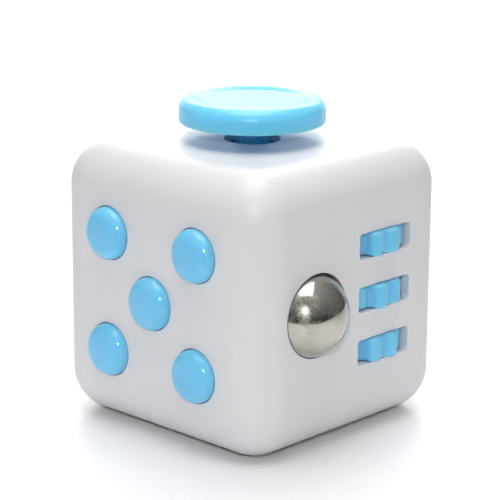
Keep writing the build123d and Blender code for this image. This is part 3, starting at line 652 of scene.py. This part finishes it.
def make_dial():
    """Flat dial with a sunken face, an off-centre fingertip hollow and a short shaft."""
    low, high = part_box("spin_dial")
    face = high.y
    radius = (high.x - low.x) / 2
    under = HALF + DIAL_GAP
    edge = 0.45 * MM
    foot = 0.15 * MM
    dish_r = 6.5 * MM
    dish_depth = 0.35 * MM
    ramp = 0.55 * MM
    shaft_r = 2.0 * MM
    steps = 8
    profile = [(0, face - dish_depth), (dish_r / 2, face - dish_depth)]
    for k in range(steps + 1):
        share = k / steps
        profile.append((dish_r - ramp * (1 - share), face - dish_depth * (1 + cos(pi * share)) / 2))
    profile += arc(radius - edge, face - edge, edge, 90, 0, 10)
    profile += arc(radius - foot, under + foot, foot, 0, -90, 4)
    profile += [(shaft_r, under), (shaft_r, low.y), (0, low.y)]
    thing = to_object("dial_disc", lathe(guarded(profile), (0, 0, MID), (0, 1, 0), 160))
    hollow_r = 2.1 * MM
    hollow_depth = 0.75 * MM
    sphere_r = (hollow_r**2 + hollow_depth**2) / (2 * hollow_depth)
    sphere_y = face - dish_depth - hollow_depth + sphere_r
    sphere = arc(0, 0, sphere_r, 90, -90, 64)
    sphere[0] = (0, sphere_r)
    sphere[-1] = (0, -sphere_r)
    cut(thing, [to_object("hollow", lathe(sphere, (HOLLOW_OUT, sphere_y, MID), (0, 1, 0), 96))])
    ease_edges(thing, DIAL_EASE)
    return thing


piece("dial_disc", make_dial(), "dial", blue, ["spin_dial"])


# ---- Soft parts: the button membrane, its domes and the ball's coil ----
SHEET_T = 0.6 * MM
DOME_H = 1.3 * MM
DOME_FOOT_R = 3.0 * MM
DOME_CROWN_R = 1.7 * MM
DOME_OPEN_R = 2.08 * MM
DOME_INNER_R = 1.3 * MM
DOME_INNER_H = 0.9 * MM
SCREW_SPREAD = 11.3 * MM
SCREW_CLEAR_R = 2.0 * MM
SOCKET_CLEAR_R = 6.0 * MM
SOCKET_NOTCH_X = 7.6 * MM
NODE_CREASE = 25  # degrees


def make_membrane_sheet():
    """Silicone sheet behind the buttons, open under each dome and cut back at the screws and the socket."""
    low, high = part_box("button_membrane")
    half = (high.x - low.x) / 2
    corners = [(-half, -half), (half, -half), (half, half), (-half, half)]
    sheet = to_object("membrane_sheet", prism(corners, 0, SHEET_T, (0, high.y, MID), (0, -1, 0)))
    cutters = []
    for name in BUTTONS:
        spot = centre(f"button_{name}")
        opening = circle(DOME_OPEN_R, 64)
        cutters.append(prism(opening, -SHEET_T, 2 * SHEET_T, (spot.x, high.y, spot.z), (0, -1, 0)))
    for x in (-SCREW_SPREAD, SCREW_SPREAD):
        for z in (-SCREW_SPREAD, SCREW_SPREAD):
            notch = circle(SCREW_CLEAR_R, 48)
            cutters.append(prism(notch, -SHEET_T, 2 * SHEET_T, (x, high.y, MID + z), (0, -1, 0)))
    socket = (SOCKET_NOTCH_X, ball_place.y, ball_place.z)
    cutters.append(prism(circle(SOCKET_CLEAR_R, 96), 0, HALF, socket, (1, 0, 0)))
    cut(sheet, [to_object(f"cutter_{i}", bm) for i, bm in enumerate(cutters)])
    return smooth(sheet, NODE_CREASE)


piece("membrane_sheet", make_membrane_sheet(), "shell", silicone, ["button_membrane"])
for name in BUTTONS:
    spot = centre(f"button_{name}")
    foot_place = Vector((spot.x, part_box("button_membrane")[1].y - SHEET_T, spot.z))
    dome_profile = [
        (0, DOME_H),
        (DOME_CROWN_R, DOME_H),
        (DOME_FOOT_R, 0),
        (DOME_OPEN_R, 0),
        (DOME_INNER_R, DOME_INNER_H),
        (0, DOME_INNER_H),
    ]
    dome = lathe(dome_profile, foot_place, (0, -1, 0), 64)
    soft = piece(f"membrane_dome_{name}", dome, "shell", silicone, ["button_membrane"])
    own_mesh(soft)


def node_copy(node, name):
    """The node's own shape as a separate piece, for a part that has to give."""
    source = frame["nodes"][node]
    thing = bpy.data.objects.new(name, source.data.copy())
    thing.matrix_world = source.matrix_world.copy()
    bpy.context.scene.collection.objects.link(thing)
    return smooth(thing, NODE_CREASE)


coil_shape = node_copy("ball_spring", "ball_coil")
coil = piece("ball_coil", coil_shape, "shell", spring_steel, ["ball_spring"])
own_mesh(coil)


# ---- Materials of the CAD nodes, seen where no piece stands for them ----
NODE_FINISH = {
    "body_white": white,
    "accent_blue": blue,
    "inner_plastic": inner,
    "silicone": silicone,
    "polished_steel": ball_steel,
    "spring_steel": spring_steel,
    "steel_fastener": screw_steel,
}
slots = {part["node"]: part["material_slot"] for part in frame["record"]["subparts"]}
for node, thing in frame["nodes"].items():
    thing.data.materials.clear()
    # The stick's dome is in the brighter blue, which is painted light, because it sits in shade under the disc.
    thing.data.materials.append(painted_lit_blue if node == "stick_dome" else NODE_FINISH[slots[node]])
    smooth(thing, NODE_CREASE)


# ---- Floor, lights, camera ----
CAMERA_AZIMUTH = 43.46  # degrees round from -Y towards +X
CAMERA_ELEVATION = 15.47  # degrees
CAMERA_ROLL = 0.4  # degrees
CAMERA_DISTANCE = 232.45 * MM
CAMERA_TARGET = Vector((9.48, -10.235, 23.304)) * MM
CAMERA_LENS = 149.97  # millimetres, on a 36 mm sensor
SENSOR_WIDTH = 36.0

ROOM_LOW = (0.05, 0.05, 0.05)
ROOM_HIGH = (0.45, 0.45, 0.45)
SWEEP = (1.3, 1.3, 1.3)
SWEEP_EDGE = 0.72  # cosine of the sweep's half width as the object sees it
SWEEP_FADE = 0.15
FIBRE_SCALE = 1500
FIBRE_RELIEF = 0.05
FIBRE_DEPTH = 0.02 * MM
FLOOR_HALF_WIDTH = 900  # the floor's sizes are in millimetres, as the camera sees it
FLOOR_NEAR = -105
FLOOR_FAR = 1200

view_azimuth = radians(CAMERA_AZIMUTH)
view_right = Vector((cos(view_azimuth), sin(view_azimuth), 0))
view_ahead = Vector((-sin(view_azimuth), cos(view_azimuth), 0))


def studio_point(across, ahead, height):
    """A place given across and ahead of the object as the camera sees it, in millimetres."""
    return (view_right * across + view_ahead * ahead + Vector((0, 0, height))) * MM


def make_floor():
    """Plain pale paper, ending just in front of the object."""
    bm = bmesh.new()
    corners = [
        (-FLOOR_HALF_WIDTH, FLOOR_NEAR),
        (FLOOR_HALF_WIDTH, FLOOR_NEAR),
        (FLOOR_HALF_WIDTH, FLOOR_FAR),
        (-FLOOR_HALF_WIDTH, FLOOR_FAR),
    ]
    bm.faces.new([bm.verts.new(studio_point(across, ahead, 0)) for across, ahead in corners])
    floor = to_object("floor", bm)
    made, tree, shader = material("paper", (0.905, 0.90, 0.92), 0.45)
    fibres = noise(tree, FIBRE_SCALE, 3.0)
    bump(tree, shader, fibres.outputs["Fac"], FIBRE_RELIEF, FIBRE_DEPTH)
    floor.data.materials.append(made)


def aimed(place, target):
    """The turn of a lamp that faces the target."""
    return (target - place).to_track_quat("-Z", "Y")


def area_light(name, place, turn, width, depth, power):
    """Rectangular lamp; width and depth in millimetres, power in watts."""
    lamp = bpy.data.lights.new(name, "AREA")
    lamp.shape = "RECTANGLE"
    lamp.size = width * MM
    lamp.size_y = depth * MM
    lamp.energy = power
    thing = bpy.data.objects.new(name, lamp)
    thing.location = place
    thing.rotation_mode = "QUATERNION"
    thing.rotation_quaternion = turn
    bpy.context.scene.collection.objects.link(thing)


def make_lights():
    middle = studio_point(0, 0, 16)
    overhead_turn = Quaternion((0, 0, 1), view_azimuth)
    area_light("overhead_softbox", studio_point(-5, 5, 416), overhead_turn, width=245, depth=400, power=1.28)
    front = studio_point(-6, -230, 120)
    area_light("front_lamp", front, aimed(front, middle), width=16, depth=16, power=0.17)
    left = studio_point(-420, -120, 160)
    area_light("left_fill", left, aimed(left, middle), width=200, depth=200, power=0.06)
    behind = studio_point(0, 800, 420)
    below = studio_point(0, 800, 0)
    area_light("backdrop_lamp", behind, aimed(behind, below), width=700, depth=500, power=5.0)


def make_world():
    """A dim room, lighter overhead and behind the object; the camera itself sees plain white."""
    world = bpy.data.worlds.new("studio")
    bpy.context.scene.world = world
    world.use_nodes = True
    tree = world.node_tree
    direction = tree.nodes.new("ShaderNodeTexCoord")
    ahead = tree.nodes.new("ShaderNodeVectorMath")
    ahead.operation = "DOT_PRODUCT"
    ahead.inputs[1].default_value = view_ahead
    tree.links.new(direction.outputs["Generated"], ahead.inputs[0])
    sweep = tree.nodes.new("ShaderNodeMapRange")
    sweep.inputs["From Min"].default_value = SWEEP_EDGE
    sweep.inputs["From Max"].default_value = SWEEP_EDGE + SWEEP_FADE
    tree.links.new(ahead.outputs["Value"], sweep.inputs["Value"])
    height = tree.nodes.new("ShaderNodeSeparateXYZ")
    tree.links.new(direction.outputs["Generated"], height.inputs[0])
    room = blend_colours(tree, height.outputs["Z"], ROOM_LOW, ROOM_HIGH)
    colour = tree.nodes.new("ShaderNodeMix")
    colour.data_type = "RGBA"
    tree.links.new(sweep.outputs["Result"], colour.inputs["Factor"])
    tree.links.new(room, colour.inputs["A"])
    colour.inputs["B"].default_value = (*SWEEP, 1)
    background = tree.nodes["Background"]
    tree.links.new(colour.outputs["Result"], background.inputs["Color"])
    backdrop = tree.nodes.new("ShaderNodeBackground")
    backdrop.inputs["Color"].default_value = (1, 1, 1, 1)
    path = tree.nodes.new("ShaderNodeLightPath")
    mix = tree.nodes.new("ShaderNodeMixShader")
    tree.links.new(path.outputs["Is Camera Ray"], mix.inputs[0])
    tree.links.new(background.outputs[0], mix.inputs[1])
    tree.links.new(backdrop.outputs[0], mix.inputs[2])
    tree.links.new(mix.outputs[0], tree.nodes["World Output"].inputs["Surface"])


def make_camera():
    camera = bpy.data.cameras.new("camera")
    camera.lens = CAMERA_LENS
    camera.sensor_width = SENSOR_WIDTH
    camera.clip_start = 0.01
    camera.clip_end = 10
    thing = bpy.data.objects.new("camera", camera)
    lift = radians(CAMERA_ELEVATION)
    back = -view_ahead * cos(lift) + Vector((0, 0, sin(lift)))
    thing.location = CAMERA_TARGET + back * CAMERA_DISTANCE
    thing.rotation_mode = "QUATERNION"
    thing.rotation_quaternion = (-back).to_track_quat("-Z", "Y") @ Quaternion((0, 0, 1), radians(CAMERA_ROLL))
    bpy.context.scene.collection.objects.link(thing)
    bpy.context.scene.camera = thing


make_floor()
make_world()
make_camera()
make_lights()
bpy.context.scene.view_settings.view_transform = "Standard"
